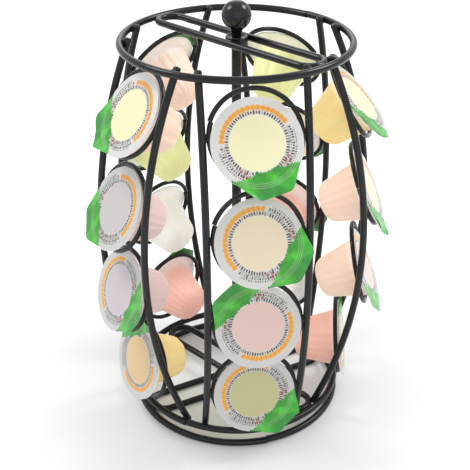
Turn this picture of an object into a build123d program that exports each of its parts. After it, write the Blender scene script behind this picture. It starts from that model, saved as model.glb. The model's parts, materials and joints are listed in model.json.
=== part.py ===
from build123d import *
from math import asin, atan2, cos, degrees, hypot, pi, radians, sin, sqrt
import os

os.makedirs("parts", exist_ok=True)

# A wire carousel that holds single-serve capsules. Millimetres, +Z up.
# The origin is on the turning axis at table level, and the front column faces -Y.

# Wire and welds
frame_wire = 4.5
ring_wire = 3.0
weld_bite = 0.06

# The frame's two hoops and the base hoop share one radius, to the wire's centre
hoop_radius = 70.0
top_hoop_height = 256.0
bottom_hoop_height = 12.5
base_hoop_height = frame_wire / 2

# Bowed uprights, in pairs
barrel_bulge = 13.4
barrel_radius = hoop_radius + barrel_bulge
upright_overhang = 2.6
upright_end_round = 1.2

# Columns, as angles from -Y towards +X, and the flat loops across the hoops
column_names = ["front", "right", "right_back", "left_back", "left"]
column_angles = [0, 74, 145, -145, -67]
crossbar_angle = (column_angles[0] + column_angles[1]) / 2
base_crossbar_angle = 109
crossbar_width = 17.8
crossbar_corner = 8.8

# Capsules
cup_neck_diameter = 40.6
cup_flange_diameter = 52.4
cup_flange_thickness = 1.0
cup_depth = 32.4
cup_shoulder_diameter = 28.4
cup_shoulder_depth = 24.8
flute_count = 20
flute_width = 3.0
flute_depth = 0.6
flute_head = 1.5
petal_count = 8
petal_valley = 8.0
petal_cut = 1.1
foil_thickness = 0.3
tab_reach = 5.0
tab_root_width = 38.0
tab_tip_width = 20.0
tab_corner = 1.5

# Capsule rings, top tier first
tier_count = 4
neck_clearance = 4.7
seat_gap = 0.05
top_tier_drop = 32.4
bottom_tier_rise = 35.9
top_tier_tilt = 29.5
tier_tilt_step = 8.0

# Turns of the pull tabs, from straight down towards the right of someone facing the lid
tab_turns = {
    "front": [15, 60, -140, 45],
    "right": [-60, -45, -45, 155],
    "right_back": [30, -45, -60, 20],
    "left_back": [-141, 10, 40, -145],
    "left": [-48, -48, 80, -145],
}

# How far each capsule nods nose-down in its ring, in degrees, and the share of the neck's
# clearance by which it hangs below the middle.
# A tab that points up lies on the ring's wire and holds its capsule straighter.
nod_angles = {
    "front": [4, 7, 2, 8],
    "right": [15, 3, 11, 2],
    "right_back": [6, 9, 4, 7],
    "left_back": [2, 7, 9, 6],
    "left": [5, 8, 8, 10],
}
hang_shares = {
    "front": [0.98, 0.64, 0.43, 0.60],
    "right": [0.90, 0.98, 0.77, 0.85],
    "right_back": [0.64, 0.53, 0.75, 0.53],
    "left_back": [0.98, 0.53, 0.64, 0.11],
    "left": [0.43, 0.32, 0.11, 0.11],
}
contact_steps = 180
contact_rings = 8

# Which of the two cup patterns stands in each ring, top tier first
cup_patterns = {
    "front": ["petal", "petal", "fluted", "petal"],
    "right": ["petal", "fluted", "fluted", "fluted"],
    "right_back": ["petal", "fluted", "fluted", "petal"],
    "left_back": ["fluted", "petal", "petal", "fluted"],
    "left": ["petal", "fluted", "fluted", "petal"],
}

# Post, bushings and base hub
post_diameter = 6.2
spigot_diameter = 3.6
running_clearance = 0.05
bushing_height = 5.6
bushing_dish_depth = 1.4
dish_rim_diameter = 12.0
dish_floor_diameter = 7.4
bushing_edge = 0.5
washer_diameter = 11.0
washer_thickness = 1.0
hub_boss_diameter = 9.0

# Ball knob
ball_diameter = 18.0
ball_height = 15.1
neck_diameter = 5.8
neck_flare = 5.0
knob_bore_share = 0.75

# Sizes that follow from the ones above
ring_bore = cup_neck_diameter + 2 * neck_clearance
ring_radius = (ring_bore + ring_wire) / 2
upright_offset = ring_radius + (ring_wire + frame_wire) / 2 - weld_bite
hoop_mid_height = (top_hoop_height + bottom_hoop_height) / 2
hoop_half_height = (top_hoop_height - bottom_hoop_height) / 2
top_tier_height = top_hoop_height - top_tier_drop
tier_pitch = (top_tier_height - bottom_hoop_height - bottom_tier_rise) / (tier_count - 1)
bushing_diameter = crossbar_width - frame_wire + 2 * weld_bite
bushing_bore = post_diameter + 2 * running_clearance
washer_foot = bottom_hoop_height - bushing_height / 2 - seat_gap - washer_thickness
ball_centre = top_hoop_height + ball_height


def bow_radius(end_radius):
    """Radius of the uprights' arc from the frame's middle to a weld at a hoop."""
    rise = barrel_radius - end_radius
    return (hoop_half_height ** 2 + rise ** 2) / (2 * rise)


def weld_radius():
    """Distance of an upright from the axis, in its column's plane, where it meets a hoop."""
    first = sqrt((hoop_radius - frame_wire) ** 2 - upright_offset ** 2)
    lean = asin(hoop_half_height / bow_radius(first)) * first / (hoop_radius - frame_wire)
    reach = hoop_radius - (frame_wire - weld_bite) / cos(lean)
    return sqrt(reach ** 2 - upright_offset ** 2)


upright_end_radius = weld_radius()
upright_bow = bow_radius(upright_end_radius)


def column_radius(height):
    """Distance of a column's centre line from the axis at a height."""
    return barrel_radius - upright_bow + sqrt(upright_bow ** 2 - (height - hoop_mid_height) ** 2)


def outward(angle):
    """Level direction from the axis towards a column."""
    return Vector(sin(radians(angle)), -cos(radians(angle)), 0)


def sideways(angle):
    """Level direction to the right of someone who faces the column."""
    return Vector(cos(radians(angle)), sin(radians(angle)), 0)


def column_plane(angle, offset):
    """Upright plane through a column: x outwards, y up, moved sideways by the offset."""
    return Plane(origin=sideways(angle) * offset, x_dir=outward(angle), z_dir=-sideways(angle))


def ring_plane(angle, tier):
    """Plane of one capsule ring: x sideways, y up the ring, z out of the lid."""
    height = top_tier_height - tier * tier_pitch
    tilt = radians(top_tier_tilt - tier * tier_tilt_step)
    centre = outward(angle) * column_radius(height) + Vector(0, 0, height)
    normal = outward(angle) * cos(tilt) + Vector(0, 0, sin(tilt))
    return Plane(origin=centre, x_dir=sideways(angle), z_dir=normal)


def loop_plane(angle, height):
    """Level plane for a loop across a hoop, with x along the loop."""
    return Plane(origin=(0, 0, height), x_dir=outward(angle), z_dir=(0, 0, 1))


def save(piece, name):
    """Label a finished piece and write its file."""
    piece.part.label = name
    export_step(piece.part, f"parts/{name}.step")


# Hoops of the frame and the base
def make_hoop(height):
    with BuildPart() as hoop:
        with Locations((0, 0, height)):
            Torus(hoop_radius, frame_wire / 2)
    return hoop


# Flat closed loops across the hoops, their rounded ends welded inside them
def make_crossbar(angle, height):
    half_width = crossbar_width / 2
    inside = hoop_radius - frame_wire + weld_bite
    shoulder = sqrt((inside - crossbar_corner) ** 2 - (half_width - crossbar_corner) ** 2)
    half_length = shoulder + crossbar_corner
    corners = [
        (half_length, -half_width),
        (half_length, half_width),
        (-half_length, half_width),
        (-half_length, -half_width),
    ]
    with BuildPart() as crossbar:
        with BuildLine(loop_plane(angle, height)) as route:
            FilletPolyline(*corners, radius=crossbar_corner, close=True)
        with BuildSketch(Plane(origin=route.line @ 0, z_dir=route.line % 0)):
            Circle(frame_wire / 2)
        sweep()
    return crossbar


# Bowed uprights
def upright_point(height):
    return (column_radius(height), height)


def make_upright(side):
    """Upright beside the front column."""
    foot = upright_point(bottom_hoop_height - upright_overhang)
    middle = upright_point(hoop_mid_height)
    head = upright_point(top_hoop_height + upright_overhang)
    with BuildPart() as upright:
        with BuildLine(column_plane(0, side * upright_offset)) as route:
            ThreePointArc(foot, middle, head)
        with BuildSketch(Plane(origin=route.line @ 0, z_dir=route.line % 0)):
            Circle(frame_wire / 2)
        sweep()
        fillet(upright.edges().filter_by(GeomType.CIRCLE), radius=upright_end_round)
    return upright


def make_uprights(side):
    upright = make_upright(side)
    with BuildPart() as uprights:
        for angle in column_angles:
            add(upright.part, rotation=(0, 0, angle))
    return uprights


# Capsule rings, one tier at a time
def make_tier(tier):
    with BuildPart() as rings:
        with Locations(*[ring_plane(angle, tier) for angle in column_angles]):
            Torus(ring_radius, ring_wire / 2)
    return rings


# Bushings that run on the post, welded between the bars of the loops
def make_bushing(height):
    with BuildPart(Plane.XY.offset(height - bushing_height / 2)) as bushing:
        Cylinder(bushing_diameter / 2, bushing_height, align=(Align.CENTER, Align.CENTER, Align.MIN))
        rims = bushing.edges().filter_by(GeomType.CIRCLE)
        chamfer(rims, length=bushing_edge)
        Hole(bushing_bore / 2)
    return bushing


def make_dished_bushing(height):
    top = height + bushing_height / 2
    with BuildPart() as bushing:
        add(make_bushing(height).part)
        with BuildSketch(Plane.XY.offset(top)):
            Circle(dish_rim_diameter / 2)
        with BuildSketch(Plane.XY.offset(top - bushing_dish_depth)):
            Circle(dish_floor_diameter / 2)
        loft(mode=Mode.SUBTRACT)
    return bushing


# Hub that holds the post in the base, flush with the table, and the washer on it
def make_hub():
    with BuildPart() as hub:
        Cylinder(bushing_diameter / 2, frame_wire, align=(Align.CENTER, Align.CENTER, Align.MIN))
        chamfer(hub.edges().filter_by(GeomType.CIRCLE), length=bushing_edge)
        Cylinder(hub_boss_diameter / 2, washer_foot, align=(Align.CENTER, Align.CENTER, Align.MIN))
        Hole(post_diameter / 2)
    return hub


def make_washer():
    with BuildPart() as washer:
        with BuildSketch(Plane.XY.offset(washer_foot)):
            Circle(washer_diameter / 2)
            Circle(bushing_bore / 2, mode=Mode.SUBTRACT)
        extrude(amount=washer_thickness)
    return washer


# Post and ball knob
knob_foot = top_hoop_height + bushing_height / 2 - bushing_dish_depth + seat_gap
post_top = ball_centre - ball_diameter / 2 * (1 - knob_bore_share)


def make_post():
    with BuildPart() as post:
        with BuildSketch():
            Circle(post_diameter / 2)
        extrude(amount=knob_foot)
        with BuildSketch():
            Circle(spigot_diameter / 2)
        extrude(amount=post_top)
        chamfer(post.edges().group_by(Axis.Z)[-1], length=bushing_edge)
    return post


def make_knob():
    """Ball that flares into its neck, on the post's spigot."""
    with BuildPart() as knob:
        with BuildSketch(Plane.XZ) as outline:
            with Locations((0, ball_centre)):
                Circle(ball_diameter / 2)
            with Locations((0, knob_foot)):
                Rectangle(neck_diameter, ball_centre - knob_foot, align=(Align.CENTER, Align.MIN))
            fillet(outline.vertices().group_by(Axis.Y)[1], radius=neck_flare)
            split(bisect_by=Plane.YZ)
        revolve(axis=Axis.Z)
        with BuildSketch(Plane.XY.offset(knob_foot)):
            Circle(spigot_diameter / 2)
        extrude(amount=post_top - knob_foot, mode=Mode.SUBTRACT)
    return knob


# Capsule cups, made once about +Z and then seated in every ring.
# The flange's underside is at zero and the nose points down.
def make_plain_cup():
    """Closed and filled cup with its flange, tapered wall and rounded nose."""
    flange = cup_flange_diameter / 2
    neck = cup_neck_diameter / 2
    shoulder = cup_shoulder_diameter / 2
    bend = (shoulder, -cup_shoulder_depth)
    nose = (0, -cup_depth)
    taper = (shoulder - neck, -cup_shoulder_depth)
    with BuildPart() as cup:
        with BuildSketch(Plane.XZ):
            with BuildLine():
                Polyline(nose, (0, cup_flange_thickness), (flange, cup_flange_thickness), (flange, 0))
                Polyline((flange, 0), (neck, 0), bend)
                Spline(bend, nose, tangents=(taper, (-1, 0)))
            make_face()
        revolve(axis=Axis.Z)
    return cup


def make_grooved_cup(count, width, depth):
    """Cup with equal round-bottomed grooves down its tapered wall."""
    neck = cup_neck_diameter / 2
    lean = degrees(atan2(neck - cup_shoulder_diameter / 2, cup_shoulder_depth))
    with BuildPart(Plane.XY.offset(-flute_head)) as grooves:
        with PolarLocations(neck + width / 2 - depth, count):
            Cylinder(width / 2, cup_depth, rotation=(0, lean, 0), align=(Align.CENTER, Align.CENTER, Align.MAX))
    with BuildPart() as cup:
        add(make_plain_cup().part)
        add(grooves.part, mode=Mode.SUBTRACT)
    return cup


def seat_height(nod, drop):
    """Height of the flange over its ring's middle at which it rests on the wire."""
    reach = ring_wire / 2 + seat_gap
    flange = cup_flange_diameter / 2
    neck = cup_neck_diameter / 2
    heights = []
    for ring in range(contact_rings + 1):
        radius = neck + (flange - neck) * ring / contact_rings
        for step in range(contact_steps):
            turn = 2 * pi * step / contact_steps
            up = radius * cos(turn)
            miss = hypot(radius * sin(turn), up * cos(nod) - drop) - ring_radius
            if abs(miss) < reach:
                heights.append(sqrt(reach ** 2 - miss ** 2) + up * sin(nod))
    return max(heights)


def seat_plane(column, tier):
    """Underside of the flange of the capsule that rests in a ring."""
    ring = ring_plane(column_angles[column_names.index(column)], tier)
    nod = radians(nod_angles[column][tier])
    drop = hang_shares[column][tier] * neck_clearance
    centre = ring.origin - ring.y_dir * drop + ring.z_dir * seat_height(nod, drop)
    normal = ring.z_dir * cos(nod) + ring.y_dir * sin(nod)
    return Plane(origin=centre, x_dir=ring.x_dir, z_dir=normal)


def lid_plane(column, tier):
    """Top of a capsule's flange, with -y towards the lid's pull tab."""
    turn = tab_turns[column][tier]
    flange = seat_plane(column, tier).offset(cup_flange_thickness)
    across = flange.x_dir * cos(radians(turn)) + flange.y_dir * sin(radians(turn))
    return Plane(origin=flange.origin, x_dir=across, z_dir=flange.z_dir)


def make_cup(pattern, column, tier):
    with BuildPart() as cup:
        with Locations(seat_plane(column, tier)):
            add(pattern.part)
    return cup


def make_lid(column, tier):
    """Foil lid sealed on the flange, with its pull tab past the rim."""
    rim = cup_flange_diameter / 2
    root = sqrt(rim ** 2 - (tab_root_width / 2) ** 2)
    tip = rim + tab_reach
    with BuildPart() as lid:
        with BuildSketch(lid_plane(column, tier)) as outline:
            Circle(rim)
            with BuildLine():
                Polyline((-tab_root_width / 2, -root), (-tab_tip_width / 2, -tip),
                         (tab_tip_width / 2, -tip), (tab_root_width / 2, -root), close=True)
            make_face()
            fillet(outline.vertices().group_by(Axis.Y)[0], radius=tab_corner)
        extrude(amount=foil_thickness)
    return lid


save(make_hoop(base_hoop_height), "base_ring")
save(make_crossbar(base_crossbar_angle, base_hoop_height), "base_crossbar")
save(make_hub(), "base_hub")
save(make_post(), "centre_post")
save(make_washer(), "thrust_washer")
save(make_knob(), "ball_knob")

save(make_hoop(bottom_hoop_height), "bottom_ring")
save(make_crossbar(crossbar_angle, bottom_hoop_height), "bottom_crossbar")
save(make_bushing(bottom_hoop_height), "bottom_bushing")
save(make_hoop(top_hoop_height), "top_ring")
save(make_crossbar(crossbar_angle, top_hoop_height), "top_crossbar")
save(make_dished_bushing(top_hoop_height), "top_bushing")
save(make_uprights(-1), "left_uprights")
save(make_uprights(1), "right_uprights")
for tier in range(tier_count):
    save(make_tier(tier), f"tier_{tier + 1}_rings")

patterns = {
    "fluted": make_grooved_cup(flute_count, flute_width, flute_depth),
    "petal": make_grooved_cup(petal_count, petal_valley, petal_cut),
}
for column in column_names:
    for tier in range(tier_count):
        place = f"{column}_{tier + 1}"
        save(make_cup(patterns[cup_patterns[column][tier]], column, tier), f"cup_{place}")
        save(make_lid(column, tier), f"lid_{place}")
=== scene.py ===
import json
from math import asin, atan2, cos, hypot, pi, radians, sin, sqrt

import bmesh
import bpy
from bpy.props import FloatProperty, FloatVectorProperty, IntProperty, PointerProperty
from mathutils import Matrix, Vector, noise


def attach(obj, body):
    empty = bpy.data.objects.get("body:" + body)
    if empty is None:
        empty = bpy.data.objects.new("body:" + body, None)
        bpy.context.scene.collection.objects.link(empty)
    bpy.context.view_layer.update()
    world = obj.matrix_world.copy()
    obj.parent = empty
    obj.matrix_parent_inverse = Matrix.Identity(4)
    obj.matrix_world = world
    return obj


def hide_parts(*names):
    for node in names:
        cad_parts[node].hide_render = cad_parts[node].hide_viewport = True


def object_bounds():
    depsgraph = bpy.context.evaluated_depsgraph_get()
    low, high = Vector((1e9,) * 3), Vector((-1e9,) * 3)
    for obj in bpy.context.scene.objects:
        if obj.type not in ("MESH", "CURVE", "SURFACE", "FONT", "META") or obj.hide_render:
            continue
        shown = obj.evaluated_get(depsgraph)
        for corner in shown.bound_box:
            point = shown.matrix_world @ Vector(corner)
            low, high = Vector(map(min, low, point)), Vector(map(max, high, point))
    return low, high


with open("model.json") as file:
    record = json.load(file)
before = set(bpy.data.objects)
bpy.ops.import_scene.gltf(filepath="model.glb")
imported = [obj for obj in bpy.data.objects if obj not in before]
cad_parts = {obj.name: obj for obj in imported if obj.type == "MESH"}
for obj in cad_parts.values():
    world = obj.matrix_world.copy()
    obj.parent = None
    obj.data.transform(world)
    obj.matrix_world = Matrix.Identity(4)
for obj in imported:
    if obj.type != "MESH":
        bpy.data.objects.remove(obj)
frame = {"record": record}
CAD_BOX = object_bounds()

bl_info = {
    "name": "Capsule Carousel",
    "version": (1, 0, 0),
    "blender": (4, 5, 0),
    "location": "3D View > Sidebar > Carousel",
    "description": "Wire carousel with its single-serve capsules, built piece by piece",
    "category": "Add Mesh",
}

# Columns as angles from the front towards the right
COLUMNS = {"front": 0, "right": 74, "right_back": 145, "left_back": -145, "left": -67}
TIERS = 4

# Width of the square that a lid's UV layout covers
UV_SPAN = 0.08

# Pressed ridges round the lids, as shares of the rim's radius; the lids' colour also follows them with
# painted glints and painted shade
RIDGE_START = 0.87
RIDGE_STEP = 0.045

# Shares of its curl that a pull tab may keep, tried until it stays inside the frame's box
TAB_CURLS = (1.0, 0.6, 0.3, 0.1, 0.0)

# Heights of a weld's two beads over and under its middle, and their sizes as shares of the largest
RING_BEAD_LIFT, RING_BEAD_SIZE = 0.0011, 0.80
HOOP_BEAD_LIFT, HOOP_BEAD_SIZE = 0.0010, 0.95

# Distances from the axis between which the floor fades to white, and its glow at each; the weaker glow near
# the axis keeps the floor greyer round the carousel, a painted shade on top of its real shadows
FLOOR_FADE = (0.085, 0.27)
FLOOR_GLOW = (0.06, 0.43)

# Light of the sky on the pieces, where 1 is the white that the camera sees
SKY_LIGHT = 0.73

# Directions of the flat loops across the frame's hoops and across the base, from +X towards +Y
CROSSBAR_ANGLE = 37
BASE_CROSSBAR_ANGLE = 109

# Where the ends of each hoop's wire meet, from +X towards +Y
BASE_JOINT = 278
BOTTOM_JOINT = 233
TOP_JOINT = 40

# Turn of each pull tab, from straight down towards the right of someone facing the lid
TAB_TURNS = {
    "front": [15, 60, -140, 45],
    "right": [-60, -45, -45, 155],
    "right_back": [30, -45, -60, 20],
    "left_back": [-141, 10, 40, -145],
    "left": [-48, -48, 80, -145],
}

# How far each capsule nods nose-down in its ring in degrees, and the share of its play by which it hangs low
NODS = {
    "front": [4, 7, 2, 8],
    "right": [15, 3, 11, 2],
    "right_back": [6, 9, 4, 7],
    "left_back": [2, 7, 9, 6],
    "left": [5, 8, 8, 10],
}
DROP_SHARES = {
    "front": [0.98, 0.64, 0.43, 0.60],
    "right": [0.90, 0.98, 0.77, 0.85],
    "right_back": [0.64, 0.53, 0.75, 0.53],
    "left_back": [0.98, 0.53, 0.64, 0.11],
    "left": [0.43, 0.32, 0.11, 0.11],
}
CUP_PATTERNS = {
    "front": ["petal", "petal", "fluted", "petal"],
    "right": ["petal", "fluted", "fluted", "fluted"],
    "right_back": ["petal", "fluted", "fluted", "petal"],
    "left_back": ["fluted", "petal", "petal", "fluted"],
    "left": ["petal", "fluted", "fluted", "petal"],
}


def length(name, description, default):
    return FloatProperty(name=name, description=description, default=default, unit="LENGTH",
                         precision=5, min=0.0)


def colour(name, description, default):
    return FloatVectorProperty(name=name, description=description, default=default,
                               subtype="COLOR", size=3, min=0.0, max=1.0)


# Sizes and colours that a user would change
class WireSizes(bpy.types.PropertyGroup):
    frame_wire: length("Frame wire", "Diameter of the hoops' and uprights' wire", 0.0045)
    ring_wire: length("Ring wire", "Diameter of the capsule rings' wire", 0.003)
    weld_bite: length("Weld bite", "Depth to which two wires are welded into each other", 0.00006)
    hoop_radius: length("Hoop radius", "Radius of the three hoops, to the wire's centre", 0.070)
    top_height: length("Top hoop height", "Height of the frame's upper hoop", 0.256)
    bottom_height: length("Bottom hoop height", "Height of the frame's lower hoop", 0.0125)
    barrel_radius: length("Barrel radius", "Distance of the uprights from the axis at the waist", 0.0834)
    overhang: length("Overhang", "Length by which an upright passes a hoop", 0.0026)
    end_round: length("End round", "Rounding of the uprights' cut ends", 0.0012)
    loop_width: length("Loop width", "Width of the flat loops, to the wire's centre", 0.0178)
    loop_corner: length("Loop corner", "Bend radius at the corners of the loops", 0.0088)
    joint_gap: length("Joint gap", "Gap where the two ends of a bent ring meet", 0.00025)
    joint_step: length("Joint step", "Offset between the two ends of a bent ring", 0.0007)
    bead_radius: length("Bead radius", "Size of the weld beads", 0.0016)


class RingSizes(bpy.types.PropertyGroup):
    radius: length("Ring radius", "Radius of a capsule ring, to the wire's centre", 0.0265)
    top_height: length("Top tier height", "Height of the middle of the top rings", 0.2236)
    pitch: length("Tier pitch", "Height from one tier to the next", 0.0584)
    top_tilt: FloatProperty(name="Top tilt", description="Backward tilt of the top rings",
                            default=radians(29.5), subtype="ANGLE", unit="ROTATION")
    tilt_step: FloatProperty(name="Tilt step", description="Tilt lost from one tier to the next",
                             default=radians(8), subtype="ANGLE", unit="ROTATION")


class PostSizes(bpy.types.PropertyGroup):
    post: length("Post", "Diameter of the centre post", 0.0062)
    spigot: length("Spigot", "Diameter of the post's end inside the knob", 0.0036)
    clearance: length("Clearance", "Gap between the post and a bushing", 0.00005)
    bushing_height: length("Bushing height", "Height of the bushings", 0.0056)
    dish_depth: length("Dish depth", "Depth of the dish in the top bushing", 0.0014)
    dish_rim: length("Dish rim", "Diameter of the dish at its rim", 0.012)
    dish_floor: length("Dish floor", "Diameter of the dish at its floor", 0.0074)
    edge: length("Edge", "Width of the turned chamfers", 0.0005)
    washer: length("Washer", "Diameter of the thrust washer", 0.011)
    washer_thickness: length("Washer thickness", "Thickness of the thrust washer", 0.001)
    boss: length("Boss", "Diameter of the hub's boss under the washer", 0.009)
    ball: length("Ball", "Diameter of the ball knob", 0.018)
    ball_height: length("Ball height", "Height of the ball's centre over the top hoop", 0.0151)
    neck: length("Neck", "Diameter of the knob's neck", 0.0058)
    neck_flare: length("Neck flare", "Radius of the flare from the neck into the ball", 0.005)


class CapsuleSizes(bpy.types.PropertyGroup):
    neck: length("Neck", "Diameter of the cup under its flange", 0.0406)
    flange: length("Flange", "Diameter of the flange", 0.0524)
    flange_thickness: length("Flange thickness", "Thickness of the flange", 0.001)
    depth: length("Depth", "Depth of the cup under its flange", 0.0324)
    shoulder: length("Shoulder", "Diameter of the cup where its nose begins", 0.0284)
    shoulder_depth: length("Shoulder depth", "Depth at which the nose begins", 0.0248)
    seat_gap: length("Seat gap", "Gap left between a flange and its ring", 0.00005)
    flutes: IntProperty(name="Flutes", description="Grooves round a fluted cup", default=20, min=3)
    flute_depth: length("Flute depth", "Depth of the grooves of a fluted cup", 0.0006)
    petals: IntProperty(name="Petals", description="Lobes round a petal cup", default=8, min=3)
    petal_depth: length("Petal depth", "Depth of the creases between the lobes", 0.0011)
    foil: length("Foil", "Thickness of the foil lid", 0.0003)
    tab_reach: length("Tab reach", "Length by which the pull tab passes the rim", 0.0049)
    tab_root: length("Tab root", "Width of the pull tab at the rim", 0.038)
    tab_tip: length("Tab tip", "Width of the pull tab at its outer edge", 0.0198)
    ridge: length("Ridge", "Height of the pressed ridges round the lid", 0.00013)
    crinkle: length("Crinkle", "Depth of the creases in the foil", 0.00007)
    tab_curl: length("Tab curl", "Height to which the tab's corners curl", 0.0012)


class Finishes(bpy.types.PropertyGroup):
    wire: colour("Wire", "Powder coat of the wires", (0.0090, 0.0092, 0.0102))
    knob: colour("Knob", "Gloss black of the ball knob", (0.006, 0.006, 0.007))
    washer: colour("Washer", "Nylon of the thrust washer", (0.05, 0.05, 0.05))
    foil: colour("Foil", "Unprinted foil of the lids", (0.76, 0.76, 0.735))
    meadow: colour("Meadow", "Green print at the tab", (0.050, 0.44, 0.022))
    meadow_dark: colour("Dark meadow", "Shaded parts of the green print", (0.012, 0.17, 0.06))
    bead: colour("Bead", "Orange beads of the print", (0.86, 0.37, 0.018))
    dot: colour("Dot", "Small grey-brown dashes of the print", (0.075, 0.050, 0.040))
    berry: colour("Berry", "Small red dots of the print", (0.33, 0.05, 0.04))


# Node trees, in geometry and in materials
class Weaver:
    """Adds nodes to a tree and links them as it goes."""

    def __init__(self, tree):
        self.tree = tree

    def node(self, kind, feeds=None, **settings):
        node = self.tree.nodes.new(kind)
        for key, value in settings.items():
            setattr(node, key, value)
        for key, value in (feeds or {}).items():
            self.feed(node, key, value)
        return node

    def feed(self, node, key, value):
        if isinstance(key, int):
            socket = node.inputs[key]
        else:
            socket = next(s for s in node.inputs if s.name == key and s.enabled)
        if isinstance(value, bpy.types.NodeSocket):
            self.tree.links.new(value, socket)
        else:
            socket.default_value = value

    def out(self, kind, name, feeds=None, **settings):
        node = self.node(kind, feeds, **settings)
        return next(s for s in node.outputs if s.name == name and s.enabled)

    def calc(self, operation, *values, clamp=False):
        feeds = dict(enumerate(values))
        return self.node("ShaderNodeMath", feeds, operation=operation, use_clamp=clamp).outputs[0]

    def vector(self, x, y, z):
        return self.node("ShaderNodeCombineXYZ", {0: x, 1: y, 2: z}).outputs[0]

    def split(self, value):
        return self.node("ShaderNodeSeparateXYZ", {0: value}).outputs

    def ramp(self, value, low, high, to_low=0.0, to_high=1.0, smooth=True):
        kind = "SMOOTHSTEP" if smooth else "LINEAR"
        feeds = {"Value": value, "From Min": low, "From Max": high, "To Min": to_low, "To Max": to_high}
        return self.out("ShaderNodeMapRange", "Result", feeds, interpolation_type=kind)

    def mix(self, share, first, second):
        node = self.tree.nodes.new("ShaderNodeMix")
        node.data_type = "RGBA"
        self.feed(node, "Factor", share)
        self.feed(node, "A", first)
        self.feed(node, "B", second)
        return next(s for s in node.outputs if s.name == "Result" and s.enabled)


def shape_tree(name, sockets):
    """Empty Geometry Nodes tree with named inputs, one of them the finish."""
    tree = bpy.data.node_groups.new(name, "GeometryNodeTree")
    face = tree.interface
    face.new_socket("Geometry", in_out="INPUT", socket_type="NodeSocketGeometry")
    for label, kind in sockets.items():
        face.new_socket(label, in_out="INPUT", socket_type="NodeSocket" + kind)
    face.new_socket("Finish", in_out="INPUT", socket_type="NodeSocketMaterial")
    face.new_socket("Geometry", in_out="OUTPUT", socket_type="NodeSocketGeometry")
    weaver = Weaver(tree)
    weaver.inputs = tree.nodes.new("NodeGroupInput").outputs
    return weaver


def close_tree(weaver, geometry):
    """Realize the instances, set the finish and end the tree."""
    real = weaver.node("GeometryNodeRealizeInstances", {"Geometry": geometry}).outputs[0]
    feeds = {"Geometry": real, "Material": weaver.inputs["Finish"]}
    finished = weaver.node("GeometryNodeSetMaterial", feeds).outputs[0]
    weaver.node("NodeGroupOutput", {"Geometry": finished})
    return weaver.tree


def turned_tree():
    """Profile turned about Z, with flutes or lobes down its side."""
    w = shape_tree("Turned Piece", {
        "Segments": "Int", "Flutes": "Int", "Flute Depth": "Float", "Sharpness": "Float",
        "Flute Top": "Float", "Flute Ease": "Float", "Fade Radius": "Float"})
    given = w.inputs
    rows = w.out("GeometryNodeAttributeDomainSize", "Point Count", {"Geometry": given["Geometry"]})
    last = w.calc("SUBTRACT", rows, 1.0)
    around = w.calc("ADD", given["Segments"], 1.0)
    grid = w.node("GeometryNodeMeshGrid", {
        "Size X": 1.0, "Size Y": last, "Vertices X": around, "Vertices Y": rows})
    place = w.node("GeometryNodeInputPosition").outputs[0]
    spot = w.split(place)
    share = w.calc("ADD", spot[0], 0.5)
    turn = w.calc("MULTIPLY", share, 2 * pi)
    row = w.calc("ROUND", w.calc("ADD", spot[1], w.calc("MULTIPLY", last, 0.5)))
    picked = w.node("GeometryNodeSampleIndex", data_type="FLOAT_VECTOR", domain="POINT")
    w.feed(picked, "Geometry", given["Geometry"])
    w.feed(picked, "Value", place)
    w.feed(picked, "Index", row)
    profile = w.split(next(s for s in picked.outputs if s.enabled))
    wave = w.calc("MULTIPLY_ADD", w.calc("COSINE", w.calc("MULTIPLY", turn, given["Flutes"])), 0.5, 0.5)
    groove = w.calc("POWER", wave, given["Sharpness"])
    end = w.calc("SUBTRACT", given["Flute Top"], given["Flute Ease"])
    eased = w.ramp(profile[2], given["Flute Top"], end)
    fade = w.ramp(profile[0], 0.0, given["Fade Radius"], smooth=False)
    cut = w.calc("MULTIPLY", w.calc("MULTIPLY", groove, eased),
                 w.calc("MULTIPLY", fade, given["Flute Depth"]))
    radius = w.calc("SUBTRACT", profile[0], cut)
    x = w.calc("MULTIPLY", radius, w.calc("COSINE", turn))
    y = w.calc("MULTIPLY", radius, w.calc("SINE", turn))
    uv = w.node("GeometryNodeStoreNamedAttribute", data_type="FLOAT2", domain="CORNER")
    w.feed(uv, "Geometry", grid.outputs["Mesh"])
    w.feed(uv, "Name", "UVMap")
    w.feed(uv, "Value", w.vector(share, w.calc("DIVIDE", row, last), 0.0))
    turned = w.node("GeometryNodeSetPosition", {
        "Geometry": uv.outputs[0], "Position": w.vector(x, y, profile[2])}).outputs[0]
    joined = w.node("GeometryNodeMergeByDistance", {"Geometry": turned, "Distance": 0.000004}).outputs[0]
    return close_tree(w, joined)


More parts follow.
